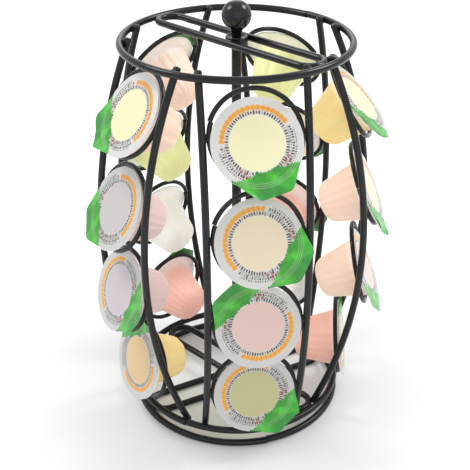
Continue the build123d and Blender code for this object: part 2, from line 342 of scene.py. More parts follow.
def ring_tree():
    """Ring of bent wire with a butt joint, tilted and set out round the axis."""
    w = shape_tree("Bent Ring", {
        "Radius": "Float", "Wire": "Float", "Joint": "Float", "Joint Gap": "Float",
        "Joint Step": "Float", "Tilt": "Float", "Out": "Float", "Height": "Float",
        "Steps": "Int", "Sides": "Int"})
    given = w.inputs
    gap = w.calc("DIVIDE", given["Joint Gap"], given["Radius"])
    arc = w.node("GeometryNodeCurveArc", {
        "Resolution": given["Steps"], "Radius": given["Radius"], "Start Angle": given["Joint"],
        "Sweep Angle": w.calc("SUBTRACT", 2 * pi, gap)}, mode="RADIUS")
    along = w.out("GeometryNodeSplineParameter", "Factor")
    place = w.node("GeometryNodeInputPosition").outputs[0]
    outward = w.node("ShaderNodeVectorMath", {0: place}, operation="NORMALIZE").outputs[0]
    far = w.calc("POWER", w.calc("ABSOLUTE", w.calc("MULTIPLY_ADD", along, 2.0, -1.0)), 9.0)
    side = w.calc("SIGN", w.calc("SUBTRACT", along, 0.5))
    step = w.calc("MULTIPLY", w.calc("MULTIPLY", far, side), w.calc("MULTIPLY", given["Joint Step"], 0.5))
    shift = w.node("ShaderNodeVectorMath", {0: outward}, operation="SCALE")
    w.feed(shift, "Scale", step)
    bent = w.node("GeometryNodeSetPosition", {
        "Geometry": arc.outputs["Curve"], "Offset": shift.outputs[0]}).outputs[0]
    section = w.node("GeometryNodeCurvePrimitiveCircle", {
        "Resolution": given["Sides"], "Radius": w.calc("MULTIPLY", given["Wire"], 0.5)}, mode="RADIUS")
    tube = w.node("GeometryNodeCurveToMesh", {
        "Curve": bent, "Profile Curve": section.outputs["Curve"], "Fill Caps": True}).outputs[0]
    lean = w.calc("SUBTRACT", pi / 2, given["Tilt"])
    spot = w.vector(0.0, w.calc("MULTIPLY", given["Out"], -1.0), given["Height"])
    seated = w.node("GeometryNodeTransform", {
        "Geometry": tube, "Translation": spot, "Rotation": w.vector(lean, 0.0, 0.0)}).outputs[0]
    return close_tree(w, around_axis(w, given["Geometry"], seated))


def around_axis(w, points, piece):
    """One copy of a piece at each point, turned about the axis by the point's own turn."""
    turn = w.node("GeometryNodeInputNamedAttribute", {"Name": "turn"}, data_type="FLOAT")
    angle = next(s for s in turn.outputs if s.enabled and s.name == "Attribute")
    return w.node("GeometryNodeInstanceOnPoints", {
        "Points": points, "Instance": piece, "Rotation": w.vector(0.0, 0.0, angle)}).outputs[0]


def loop_tree():
    """Flat closed loop of wire with rounded corners."""
    w = shape_tree("Wire Loop", {
        "Length": "Float", "Width": "Float", "Corner": "Float", "Wire": "Float",
        "Height": "Float", "Turn": "Float"})
    given = w.inputs
    square = w.node("GeometryNodeCurvePrimitiveQuadrilateral", {
        "Width": given["Length"], "Height": given["Width"]}, mode="RECTANGLE").outputs[0]
    rounded = w.node("GeometryNodeFilletCurve", {
        "Curve": square, "Count": 12, "Radius": given["Corner"], "Limit Radius": True}, mode="POLY")
    section = w.node("GeometryNodeCurvePrimitiveCircle", {
        "Resolution": 20, "Radius": w.calc("MULTIPLY", given["Wire"], 0.5)}, mode="RADIUS")
    tube = w.node("GeometryNodeCurveToMesh", {
        "Curve": rounded.outputs[0], "Profile Curve": section.outputs["Curve"]}).outputs[0]
    seated = w.node("GeometryNodeTransform", {
        "Geometry": tube, "Translation": w.vector(0.0, 0.0, given["Height"]),
        "Rotation": w.vector(0.0, 0.0, given["Turn"])}).outputs[0]
    return close_tree(w, seated)


def upright_tree():
    """Bowed upright through three points, one in each column."""
    w = shape_tree("Bowed Upright", {
        "Foot": "Vector", "Middle": "Vector", "Head": "Vector", "Wire": "Float", "Steps": "Int"})
    given = w.inputs
    arc = w.node("GeometryNodeCurveArc", mode="POINTS")
    w.feed(arc, "Resolution", given["Steps"])
    w.feed(arc, "Start", given["Foot"])
    w.feed(arc, "Middle", given["Middle"])
    w.feed(arc, "End", given["Head"])
    section = w.node("GeometryNodeCurvePrimitiveCircle", {
        "Resolution": 24, "Radius": w.calc("MULTIPLY", given["Wire"], 0.5)}, mode="RADIUS")
    tube = w.node("GeometryNodeCurveToMesh", {
        "Curve": arc.outputs["Curve"], "Profile Curve": section.outputs["Curve"], "Fill Caps": True})
    return close_tree(w, around_axis(w, given["Geometry"], tube.outputs[0]))


def bead_tree():
    """Uneven weld bead at every point, sized by the point's own size."""
    w = shape_tree("Weld Bead", {"Radius": "Float", "Unevenness": "Float", "Seed": "Int"})
    given = w.inputs
    ball = w.node("GeometryNodeMeshIcoSphere", {"Radius": given["Radius"], "Subdivisions": 3})
    place = w.node("GeometryNodeInputPosition").outputs[0]
    lumps = w.out("ShaderNodeTexNoise", "Fac", {"Vector": place, "Scale": 900.0, "Detail": 1.0})
    swell = w.calc("MULTIPLY", w.calc("SUBTRACT", lumps, 0.5), given["Unevenness"])
    offset = w.node("ShaderNodeVectorMath", {0: place}, operation="SCALE")
    w.feed(offset, "Scale", swell)
    lumpy = w.node("GeometryNodeSetPosition", {
        "Geometry": ball.outputs["Mesh"], "Offset": offset.outputs[0]}).outputs[0]
    size = w.node("GeometryNodeInputNamedAttribute", {"Name": "size"}, data_type="FLOAT")
    grown = next(s for s in size.outputs if s.enabled and s.name == "Attribute")
    chance = w.node("FunctionNodeRandomValue", data_type="FLOAT_VECTOR")
    w.feed(chance, "Min", (0.0, 0.0, 0.0))
    w.feed(chance, "Max", (6.28, 6.28, 6.28))
    w.feed(chance, "Seed", given["Seed"])
    spin = next(s for s in chance.outputs if s.enabled)
    beads = w.node("GeometryNodeInstanceOnPoints", {
        "Points": given["Geometry"], "Instance": lumpy, "Rotation": spin, "Scale": grown}).outputs[0]
    return close_tree(w, beads)


def point_cloud(name, places, **values):
    """Loose points, each with its own values as attributes."""
    mesh = bpy.data.meshes.new(name)
    mesh.from_pydata(places, [], [])
    for key, numbers in values.items():
        mesh.attributes.new(key, "FLOAT", "POINT").data.foreach_set("value", numbers)
    return mesh


def grow(name, tree, source, inputs, place=None):
    """Run a node tree on its source and keep the result as a plain mesh."""
    piece = bpy.data.objects.new(name, source)
    bpy.context.scene.collection.objects.link(piece)
    modifier = piece.modifiers.new("Shape", "NODES")
    modifier.node_group = tree
    sockets = {s.name: s.identifier for s in tree.interface.items_tree if s.in_out == "INPUT"}
    for label, value in inputs.items():
        modifier[sockets[label]] = value
    graph = bpy.context.evaluated_depsgraph_get()
    mesh = bpy.data.meshes.new_from_object(piece.evaluated_get(graph), depsgraph=graph)
    piece.modifiers.remove(modifier)
    piece.data = mesh
    mesh.name = name
    if len(mesh.polygons) == 0:
        raise RuntimeError(f"{name} came out empty")
    if place is not None:
        mesh.transform(place)
    tidy_mesh(mesh)
    return piece


def tidy_mesh(mesh, sharp=38):
    """Faces outwards, smooth but for real edges."""
    shell = bmesh.new()
    shell.from_mesh(mesh)
    bmesh.ops.recalc_face_normals(shell, faces=shell.faces)
    shell.to_mesh(mesh)
    shell.free()
    mesh.shade_smooth()
    mesh.set_sharp_from_angle(angle=radians(sharp))


def round_cut_ends(mesh, width):
    """Round the rims of the flat cut ends of a wire."""
    shell = bmesh.new()
    shell.from_mesh(mesh)
    rims = [e for e in shell.edges if len(e.link_faces) == 2 and e.calc_face_angle() > radians(60)]
    bmesh.ops.bevel(shell, geom=rims, offset=width, segments=3, profile=0.5, affect="EDGES", material=-1)
    shell.to_mesh(mesh)
    shell.free()
    tidy_mesh(mesh)


def seat(piece, body, slot, *nodes):
    """Hang a piece on the body it rides on and hide the CAD nodes it stands for; its slot is not used."""
    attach(piece, body)
    if nodes:
        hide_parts(*nodes)


def profile_mesh(name, points):
    mesh = bpy.data.meshes.new(name)
    mesh.from_pydata([(x, 0.0, z) for x, z in points], [], [])
    return mesh


def turn_piece(name, points, finish, segments=72, place=None, **flutes):
    """Piece turned from a profile of radius and height."""
    inputs = {"Segments": segments, "Flutes": 0, "Flute Depth": 0.0, "Sharpness": 1.0,
              "Flute Top": 0.0, "Flute Ease": 0.001, "Fade Radius": 0.001, "Finish": finish}
    inputs.update({key.replace("_", " ").title(): value for key, value in flutes.items()})
    return grow(name, shared_tree("Turned Piece", turned_tree), profile_mesh(name, points), inputs, place)


def shared_tree(name, maker):
    return bpy.data.node_groups.get(name) or maker()


# Places that follow from the sizes
def bow_radius(wire, end_radius):
    rise = wire.barrel_radius - end_radius
    half = (wire.top_height - wire.bottom_height) / 2
    return (half ** 2 + rise ** 2) / (2 * rise)


def upright_offset(wire, ring):
    return ring.radius + (wire.ring_wire + wire.frame_wire) / 2 - wire.weld_bite


def weld_radius(wire, ring):
    """Distance of an upright from the axis, in its column's plane, where it meets a hoop."""
    offset = upright_offset(wire, ring)
    clear = wire.hoop_radius - wire.frame_wire
    half = (wire.top_height - wire.bottom_height) / 2
    first = sqrt(clear ** 2 - offset ** 2)
    lean = asin(half / bow_radius(wire, first)) * first / clear
    reach = wire.hoop_radius - (wire.frame_wire - wire.weld_bite) / cos(lean)
    return sqrt(reach ** 2 - offset ** 2)


def column_radius(wire, ring, height):
    """Distance of a column's centre line from the axis at a height."""
    bow = bow_radius(wire, weld_radius(wire, ring))
    middle = (wire.top_height + wire.bottom_height) / 2
    return wire.barrel_radius - bow + sqrt(bow ** 2 - (height - middle) ** 2)


def tier_height(ring, tier):
    return ring.top_height - tier * ring.pitch


def tier_tilt(ring, tier):
    return ring.top_tilt - tier * ring.tilt_step


def outward(angle):
    return Vector((sin(radians(angle)), -cos(radians(angle)), 0))


def sideways(angle):
    return Vector((cos(radians(angle)), sin(radians(angle)), 0))


def ring_frame(wire, ring, angle, tier):
    """Middle of a capsule ring, and its directions sideways, up the ring and out of the lid."""
    height, tilt = tier_height(ring, tier), tier_tilt(ring, tier)
    middle = outward(angle) * column_radius(wire, ring, height) + Vector((0, 0, height))
    out = outward(angle) * cos(tilt) + Vector((0, 0, sin(tilt)))
    return middle, sideways(angle), out.cross(sideways(angle)), out


def seat_height(wire, ring, cup, nod, drop):
    """Height of the flange over its ring's middle at which it rests on the wire."""
    reach = wire.ring_wire / 2 + cup.seat_gap
    flange, neck = cup.flange / 2, cup.neck / 2
    heights = []
    for ring_step in range(9):
        radius = neck + (flange - neck) * ring_step / 8
        for step in range(180):
            turn = 2 * pi * step / 180
            up = radius * cos(turn)
            miss = hypot(radius * sin(turn), up * cos(nod) - drop) - ring.radius
            if abs(miss) < reach:
                heights.append(sqrt(reach ** 2 - miss ** 2) + up * sin(nod))
    return max(heights)


def capsule_place(wire, ring, cup, column, tier):
    """Matrix that seats a capsule, made about +Z, in its ring."""
    middle, side, up, out = ring_frame(wire, ring, COLUMNS[column], tier)
    nod = radians(NODS[column][tier])
    play = ring.radius - (wire.ring_wire + cup.neck) / 2
    drop = DROP_SHARES[column][tier] * play
    spot = middle - up * drop + out * seat_height(wire, ring, cup, nod, drop)
    tall = out * cos(nod) + up * sin(nod)
    back = tall.cross(side)
    rows = Matrix((side, back, tall)).transposed().to_4x4()
    return Matrix.Translation(spot) @ rows


# Finishes
def new_material(name):
    material = bpy.data.materials.new(name)
    material.use_nodes = True
    material.node_tree.nodes.clear()
    w = Weaver(material.node_tree)
    shader = w.node("ShaderNodeBsdfPrincipled")
    ending = w.node("ShaderNodeOutputMaterial")
    material.node_tree.links.new(shader.outputs[0], ending.inputs["Surface"])
    return material, w, shader


def shade(value):
    return (*value, 1.0)


def blotches(w, coords, scale, detail=2.0, roughness=0.5):
    return w.out("ShaderNodeTexNoise", "Fac", {
        "Vector": coords, "Scale": scale, "Detail": detail, "Roughness": roughness})


def bump(w, height, strength, distance):
    return w.node("ShaderNodeBump", {
        "Height": height, "Strength": strength, "Distance": distance}).outputs[0]


def powder_coat(finishes):
    """Satin black powder coat with a fine orange peel and broad lighter and darker patches."""
    material, w, shader = new_material("Wire_powder_coat")
    coords = w.out("ShaderNodeTexCoord", "Object")
    broad = blotches(w, coords, 70.0, 3.0)
    fine = blotches(w, coords, 1500.0, 2.0, 0.6)
    dark = shade([c * 0.82 for c in finishes.wire])
    light = shade([c * 1.45 for c in finishes.wire])
    w.feed(shader, "Base Color", w.mix(w.ramp(broad, 0.3, 0.75), dark, light))
    w.feed(shader, "Roughness", w.ramp(broad, 0.25, 0.8, 0.17, 0.27))
    w.feed(shader, "Normal", bump(w, fine, 0.22, 0.00006))
    shader.inputs["Specular IOR Level"].default_value = 0.30
    return material


def gloss_black(finishes):
    """Moulded gloss black with a faint waviness."""
    material, w, shader = new_material("Knob_gloss_black")
    coords = w.out("ShaderNodeTexCoord", "Object")
    smear = blotches(w, coords, 160.0, 3.0)
    scuffs = blotches(w, coords, 900.0, 4.0, 0.7)
    w.feed(shader, "Base Color", w.mix(w.ramp(smear, 0.3, 0.7), shade(finishes.knob),
                                       shade([c * 1.6 for c in finishes.knob])))
    w.feed(shader, "Roughness", w.ramp(scuffs, 0.3, 0.75, 0.16, 0.26))
    w.feed(shader, "Normal", bump(w, smear, 0.15, 0.00008))
    shader.inputs["Specular IOR Level"].default_value = 0.38
    return material


def nylon(finishes):
    """Matt nylon with faint turning marks."""
    material, w, shader = new_material("Washer_nylon")
    coords = w.out("ShaderNodeTexCoord", "Object")
    marks = w.calc("SINE", w.calc("MULTIPLY", w.split(coords)[2], 52000.0))
    grain = blotches(w, coords, 700.0, 3.0)
    w.feed(shader, "Base Color", w.mix(grain, shade(finishes.washer),
                                       shade([c * 1.5 for c in finishes.washer])))
    w.feed(shader, "Roughness", w.ramp(grain, 0.2, 0.8, 0.5, 0.65))
    w.feed(shader, "Normal", bump(w, w.calc("ADD", grain, w.calc("MULTIPLY", marks, 0.2)), 0.3, 0.00004))
    return material


def cup_plastic(slot, tint):
    """Thin milky plastic that lets some light through, with a painted glow of its own colour on top, paler at
    the flange and fuller towards the nose.
    """
    material, w, shader = new_material("Cup_plastic_" + slot)
    uv = w.split(w.out("ShaderNodeTexCoord", "UV"))
    coords = w.out("ShaderNodeTexCoord", "Object")
    cloud = blotches(w, coords, 55.0, 2.0)
    grain = blotches(w, coords, 1300.0, 2.0, 0.6)
    pale = shade([c + (0.95 - c) * 0.60 for c in tint])
    full = shade([c + (0.97 - c) * 0.09 for c in tint])
    deep = shade([c * 0.98 for c in tint])
    along = w.ramp(uv[1], 0.20, 0.34)
    body = w.mix(w.ramp(cloud, 0.3, 0.7), full, deep)
    colour = w.mix(along, pale, body)
    w.feed(shader, "Base Color", colour)
    w.feed(shader, "Roughness", w.ramp(cloud, 0.25, 0.8, 0.38, 0.48))
    w.feed(shader, "Normal", bump(w, grain, 0.12, 0.00005))
    # Painted glow: the cup emits its own colour, standing in for light that passes through the plastic
    w.feed(shader, "Emission Color", colour)
    shader.inputs["Emission Strength"].default_value = 0.24
    shader.inputs["Subsurface Weight"].default_value = 0.25
    shader.inputs["Subsurface Radius"].default_value = (1.0, 0.7, 0.5)
    shader.inputs["Subsurface Scale"].default_value = 0.004
    return material


def lap_of(w, turn, count):
    """Number of the step of a ring of equal marks, and the place within it from its middle."""
    lap = w.calc("MULTIPLY", turn, count / (2 * pi))
    return w.calc("FLOOR", lap), w.calc("SUBTRACT", w.calc("FRACT", lap), 0.5)


def dot_ring(w, radius, turn, place, count, size, soft=0.00015):
    """Mask of equal dots set out on a circle."""
    off = lap_of(w, turn, count)[1]
    along = w.calc("MULTIPLY", off, 2 * pi * place / count)
    across = w.calc("SUBTRACT", radius, place)
    away = w.calc("SQRT", w.calc("ADD", w.calc("MULTIPLY", along, along), w.calc("MULTIPLY", across, across)))
    return w.ramp(away, size + soft, size - soft)


def dash_ring(w, radius, turn, place, count, tall, share):
    """Mask of short radial dashes on a circle, each with its own length and strength."""
    number, off = lap_of(w, turn, count)
    chance = w.split(w.out("ShaderNodeTexWhiteNoise", "Color", {"W": w.calc("ADD", number, count)},
                           noise_dimensions="1D"))
    half = w.calc("MULTIPLY", w.ramp(chance[0], 0.0, 1.0, 0.55, 1.0, smooth=False), tall / 2)
    across = w.calc("ABSOLUTE", w.calc("SUBTRACT", radius, place))
    tall_enough = w.ramp(w.calc("SUBTRACT", across, half), 0.00012, -0.00012)
    narrow = w.ramp(w.calc("ABSOLUTE", off), share / 2 + 0.08, share / 2 - 0.08)
    strength = w.ramp(chance[1], 0.05, 0.4, 0.45, 1.0, smooth=False)
    return w.calc("MULTIPLY", w.calc("MULTIPLY", tall_enough, narrow), strength)


def within(w, away, first, last):
    """Mask of the directions between two turns from the tab, in degrees."""
    return w.calc("MULTIPLY", w.ramp(away, radians(first), radians(first + 2)),
                  w.ramp(away, radians(last), radians(last - 2)))


def printed_rings(w, ground, finishes, rim, radius, turn):
    """Rings of plain dashes, a chain of orange beads away from the tab and a few red dots."""
    away = w.calc("ABSOLUTE", turn)
    for place, count, tall, share, first, last, strength in (
            (0.660, 70, 0.0025, 0.62, -4, 190, 0.97),
            (0.722, 96, 0.0010, 0.60, 24, 103, 0.80),
            (0.775, 82, 0.0021, 0.62, 28, 103, 0.97),
            (0.836, 100, 0.0013, 0.58, 36, 96, 0.80)):
        dashes = w.calc("MULTIPLY", dash_ring(w, radius, turn, place * rim, count, tall, share),
                        within(w, away, first, last))
        ground = w.mix(w.calc("MULTIPLY", dashes, strength), ground, shade(finishes.dot))
    opposite = within(w, away, 106, 190)
    band = w.ramp(w.calc("ABSOLUTE", w.calc("SUBTRACT", radius, 0.765 * rim)), 0.0013, 0.0009)
    beads = dot_ring(w, radius, turn, 0.765 * rim, 44, 0.00165, 0.00030)
    chain = w.calc("MULTIPLY", w.calc("MAXIMUM", band, beads), opposite)
    ground = w.mix(w.calc("MULTIPLY", chain, 0.92), ground, shade(finishes.bead))
    cores = w.calc("MULTIPLY", dot_ring(w, radius, turn, 0.765 * rim, 44, 0.00060, 0.00030), opposite)
    ground = w.mix(w.calc("MULTIPLY", cores, 0.45), ground, shade([c * 0.72 for c in finishes.bead]))
    for place, count, first, last in ((0.70, 40, 36, 58), (0.78, 46, 32, 50)):
        berries = w.calc("MULTIPLY", dot_ring(w, radius, turn, place * rim, count, 0.00085, 0.0003),
                         within(w, away, first, last))
        ground = w.mix(w.calc("MULTIPLY", berries, 0.8), ground, shade(finishes.berry))
    return ground


def printed_meadow(w, ground, finishes, rim, x, y):
    """Green field at the tab, grassy along its upper edge."""
    flat = w.vector(x, y, 0.0)
    blades = w.out("ShaderNodeTexNoise", "Fac", {
        "Vector": w.vector(w.calc("MULTIPLY", x, 3.2), w.calc("MULTIPLY", y, 0.55), 0.0),
        "Scale": 420.0, "Detail": 2.0})
    tufts = w.out("ShaderNodeTexNoise", "Fac", {
        "Vector": w.vector(w.calc("MULTIPLY", x, 1.0), w.calc("MULTIPLY", y, 0.4), 3.0),
        "Scale": 130.0, "Detail": 1.0})
    ragged = w.calc("MULTIPLY", w.calc("SUBTRACT", blades, 0.5), 0.0042)
    swell = w.calc("MULTIPLY", w.calc("SUBTRACT", tufts, 0.5), 0.0075)
    low = w.calc("ADD", w.calc("MULTIPLY", y, -1.0), w.calc("ADD", ragged, swell))
    field = w.ramp(low, 0.600 * rim, 0.625 * rim)
    near = w.ramp(low, 0.82 * rim, 0.62 * rim)
    deep = w.calc("MULTIPLY", w.ramp(blades, 0.40, 0.60), w.calc("MULTIPLY", near, w.ramp(tufts, 0.42, 0.60)))
    wash = w.mix(w.ramp(blotches(w, flat, 90.0, 2.0), 0.35, 0.7), shade([c * 0.72 for c in finishes.meadow]),
                 shade([c * 1.45 for c in finishes.meadow]))
    edge = w.calc("MULTIPLY", w.ramp(low, 0.84 * rim, 1.12 * rim), 0.40)
    wash = w.mix(edge, wash, shade(finishes.meadow_dark))
    green = w.mix(w.calc("MULTIPLY", deep, 0.95), wash, shade(finishes.meadow_dark))
    return w.mix(field, ground, green)


def printed_foil(slot, tint, finishes, cup):
    """Foil lid: pale disc, rings of plain dashes and beads, and a green field at the tab."""
    material, w, shader = new_material("Lid_foil_" + slot)
    uv = w.split(w.out("ShaderNodeTexCoord", "UV"))
    coords = w.out("ShaderNodeTexCoord", "Object")
    rim = cup.flange / 2
    x = w.calc("MULTIPLY", w.calc("SUBTRACT", uv[0], 0.5), UV_SPAN)
    y = w.calc("MULTIPLY", w.calc("SUBTRACT", uv[1], 0.5), UV_SPAN)
    radius = w.calc("SQRT", w.calc("ADD", w.calc("MULTIPLY", x, x), w.calc("MULTIPLY", y, y)))
    turn = w.calc("ARCTAN2", x, w.calc("MULTIPLY", y, -1.0))
    mottle = blotches(w, w.vector(x, y, 0.0), 260.0, 3.0)
    # Painted shade: the bare foil is darkened by a share that follows the brightness of the lid's tint,
    # standing in for the dimmer light on some lids
    grey = 0.55 + 0.5 * (0.3 * tint[0] + 0.6 * tint[1] + 0.1 * tint[2])
    bare = [c * grey for c in finishes.foil]
    foil = w.mix(mottle, shade([c * 0.97 for c in bare]), shade(bare))
    disc = w.ramp(radius, 0.612 * rim, 0.600 * rim)
    ground = w.mix(disc, foil, w.mix(mottle, shade([c * 0.96 for c in tint]), shade(tint)))
    ground = printed_rings(w, ground, finishes, rim, radius, turn)
    ground = printed_meadow(w, ground, finishes, rim, x, y)
    wave = w.calc("COSINE", w.calc("MULTIPLY", w.calc("SUBTRACT", radius, RIDGE_START * rim),
                                   2 * pi / (RIDGE_STEP * rim)))
    ridged = w.calc("MULTIPLY", w.ramp(radius, 0.83 * rim, 0.85 * rim),
                    w.ramp(radius, 0.985 * rim, 0.97 * rim))
    # Painted glints along the ridges' crests and painted shade in their valleys, across the ridged band
    painted_crest_glints = w.calc("MULTIPLY", w.ramp(wave, 0.2, 1.0), w.calc("MULTIPLY", ridged, 0.28))
    painted_valley_shade = w.calc("MULTIPLY", w.ramp(wave, -0.2, -1.0), w.calc("MULTIPLY", ridged, 0.16))
    ground = w.mix(painted_crest_glints, ground, shade(bare))
    w.feed(shader, "Base Color", w.mix(painted_valley_shade, ground, shade([c * 0.35 for c in bare])))
    w.feed(shader, "Roughness", w.ramp(mottle, 0.2, 0.8, 0.30, 0.42))
    pressed = blotches(w, coords, 2200.0, 2.0, 0.5)
    w.feed(shader, "Normal", bump(w, pressed, 0.12, 0.00004))
    shader.inputs["Metallic"].default_value = 0.08
    shader.inputs["Coat Weight"].default_value = 0.10
    shader.inputs["Coat Roughness"].default_value = 0.18
    return material


def slot_material(slot):
    """Finish for one of the record's material slots, made once."""
    made = bpy.data.materials.get(slot_names.get(slot, ""))
    if made:
        return made
    scene = bpy.context.scene
    tints = {m["slot"]: m["base_color"] for m in frame["record"]["materials"]}
    if slot == "wire":
        made = powder_coat(scene.carousel_finishes)
    elif slot == "knob":
        made = gloss_black(scene.carousel_finishes)
    elif slot == "washer":
        made = nylon(scene.carousel_finishes)
    elif slot.startswith("cup_"):
        made = cup_plastic(slot, tints[slot])
    else:
        made = printed_foil(slot, tints[slot], scene.carousel_finishes, scene.carousel_capsules)
    slot_names[slot] = made.name
    return made


slot_names = {}


# Operators, one for each piece or group of like pieces
class CAROUSEL_OT_hoops(bpy.types.Operator):
    """Bend the base hoop and the frame's two hoops"""
    bl_idname = "carousel.hoops"
    bl_label = "Hoops"

    def execute(self, context):
        wire = context.scene.carousel_wire
        tree = shared_tree("Bent Ring", ring_tree)
        hoops = {
            "base_ring": (wire.frame_wire / 2, BASE_JOINT),
            "bottom_ring": (wire.bottom_height, BOTTOM_JOINT),
            "top_ring": (wire.top_height, TOP_JOINT),
        }
        for node, (height, joint) in hoops.items():
            source = point_cloud(node, [(0, 0, 0)], turn=[0.0])
            piece = grow(node + "_wire", tree, source, {
                "Radius": wire.hoop_radius, "Wire": wire.frame_wire, "Joint": radians(joint),
                "Joint Gap": wire.joint_gap, "Joint Step": wire.joint_step,
                "Tilt": pi / 2, "Out": 0.0, "Height": height, "Steps": 193, "Sides": 24,
                "Finish": slot_material("wire")})
            seat(piece, "base" if node == "base_ring" else "carousel", "wire", node)
        return {"FINISHED"}


class CAROUSEL_OT_loops(bpy.types.Operator):
    """Bend the flat loops that cross the hoops"""
    bl_idname = "carousel.loops"
    bl_label = "Flat loops"

    def execute(self, context):
        wire = context.scene.carousel_wire
        tree = shared_tree("Wire Loop", loop_tree)
        inside = wire.hoop_radius - wire.frame_wire + wire.weld_bite
        flat = wire.loop_width / 2 - wire.loop_corner
        half = sqrt((inside - wire.loop_corner) ** 2 - flat ** 2) + wire.loop_corner
        loops = {"base_crossbar": (wire.frame_wire / 2, BASE_CROSSBAR_ANGLE, "base"),
                 "bottom_crossbar": (wire.bottom_height, CROSSBAR_ANGLE, "carousel"),
                 "top_crossbar": (wire.top_height, CROSSBAR_ANGLE, "carousel")}
        for node, (height, angle, body) in loops.items():
            source = point_cloud(node, [(0, 0, 0)])
            piece = grow(node + "_wire", tree, source, {
                "Length": half * 2, "Width": wire.loop_width, "Corner": wire.loop_corner,
                "Wire": wire.frame_wire, "Height": height, "Turn": radians(angle - 90),
                "Finish": slot_material("wire")})
            seat(piece, body, "wire", node)
        return {"FINISHED"}


class CAROUSEL_OT_uprights(bpy.types.Operator):
    """Bow the ten uprights, in pairs"""
    bl_idname = "carousel.uprights"
    bl_label = "Uprights"

    def execute(self, context):
        wire, ring = context.scene.carousel_wire, context.scene.carousel_rings
        tree = shared_tree("Bowed Upright", upright_tree)
        offset = upright_offset(wire, ring)
        heights = [wire.bottom_height - wire.overhang, (wire.top_height + wire.bottom_height) / 2,
                   wire.top_height + wire.overhang]
        for node, side in (("left_uprights", -1), ("right_uprights", 1)):
            points = [(side * offset, -column_radius(wire, ring, h), h) for h in heights]
            source = point_cloud(node, [(0, 0, 0)] * 5, turn=[radians(a) for a in COLUMNS.values()])
            piece = grow(node + "_wire", tree, source, {
                "Foot": points[0], "Middle": points[1], "Head": points[2],
                "Wire": wire.frame_wire, "Steps": 65, "Finish": slot_material("wire")})
            round_cut_ends(piece.data, wire.end_round)
            seat(piece, "carousel", "wire", node)
        return {"FINISHED"}


class CAROUSEL_OT_rings(bpy.types.Operator):
    """Bend the capsule rings, one tier at a time"""
    bl_idname = "carousel.rings"
    bl_label = "Capsule rings"

    def execute(self, context):
        wire, ring = context.scene.carousel_wire, context.scene.carousel_rings
        tree = shared_tree("Bent Ring", ring_tree)
        for tier in range(TIERS):
            node = f"tier_{tier + 1}_rings"
            height = tier_height(ring, tier)
            source = point_cloud(node, [(0, 0, 0)] * 5, turn=[radians(a) for a in COLUMNS.values()])
            piece = grow(node + "_wire", tree, source, {
                "Radius": ring.radius, "Wire": wire.ring_wire, "Joint": radians(160),
                "Joint Gap": wire.joint_gap, "Joint Step": wire.joint_step,
                "Tilt": tier_tilt(ring, tier), "Out": column_radius(wire, ring, height),
                "Height": height, "Steps": 97, "Sides": 16, "Finish": slot_material("wire")})
            seat(piece, "carousel", "wire", node)
        return {"FINISHED"}


class CAROUSEL_OT_beads(bpy.types.Operator):
    """Set weld beads wherever two wires touch"""
    bl_idname = "carousel.beads"
    bl_label = "Weld beads"

    def execute(self, context):
        wire, ring = context.scene.carousel_wire, context.scene.carousel_rings
        frame_spots, frame_sizes = [], []
        reach = ring.radius + wire.ring_wire / 2
        for angle in COLUMNS.values():
            for tier in range(TIERS):
                middle, side, up = ring_frame(wire, ring, angle, tier)[:3]
                for hand in (-1, 1):
                    for lift in (-RING_BEAD_LIFT, RING_BEAD_LIFT):
                        frame_spots.append(middle + side * reach * hand + up * lift)
                        frame_sizes.append(RING_BEAD_SIZE)
            for height in (wire.top_height, wire.bottom_height):
                for hand in (-1, 1):
                    spot = outward(angle) * column_radius(wire, ring, height)
                    spot += sideways(angle) * upright_offset(wire, ring) * hand
                    spot = spot.normalized() * (wire.hoop_radius - wire.frame_wire / 2)
                    for lift in (-HOOP_BEAD_LIFT, HOOP_BEAD_LIFT):
                        frame_spots.append(spot + Vector((0, 0, height + lift)))
                        frame_sizes.append(HOOP_BEAD_SIZE)
        for height in (wire.top_height, wire.bottom_height):
            self.loop_spots(wire, CROSSBAR_ANGLE, height, frame_spots, frame_sizes)
        base_spots, base_sizes = [], []
        self.loop_spots(wire, BASE_CROSSBAR_ANGLE, wire.frame_wire / 2, base_spots, base_sizes)
        tree = shared_tree("Weld Bead", bead_tree)
        for name, body, spots, sizes in (("frame_weld_beads", "carousel", frame_spots, frame_sizes),
                                         ("base_weld_beads", "base", base_spots, base_sizes)):
            piece = grow(name, tree, point_cloud(name, spots, size=sizes), {
                "Radius": wire.bead_radius, "Unevenness": 0.35, "Seed": 7,
                "Finish": slot_material("wire")})
            seat(piece, body, "wire")
        return {"FINISHED"}

    def loop_spots(self, wire, angle, height, spots, sizes):
        """Where a loop meets its hoop and the collar in its middle."""
        edge = wire.hoop_radius - wire.frame_wire / 2
        for end in (-1, 1):
            for lean in (-2.6, 0.0, 2.6):
                spots.append(outward(angle + lean) * edge * end + Vector((0, 0, height)))
                sizes.append(0.95)
            bar = sideways(angle) * (wire.loop_width - wire.frame_wire) / 2 * end
            for shift in (-0.0016, 0.0016):
                spots.append(bar + outward(angle) * shift + Vector((0, 0, height)))
                sizes.append(0.85)


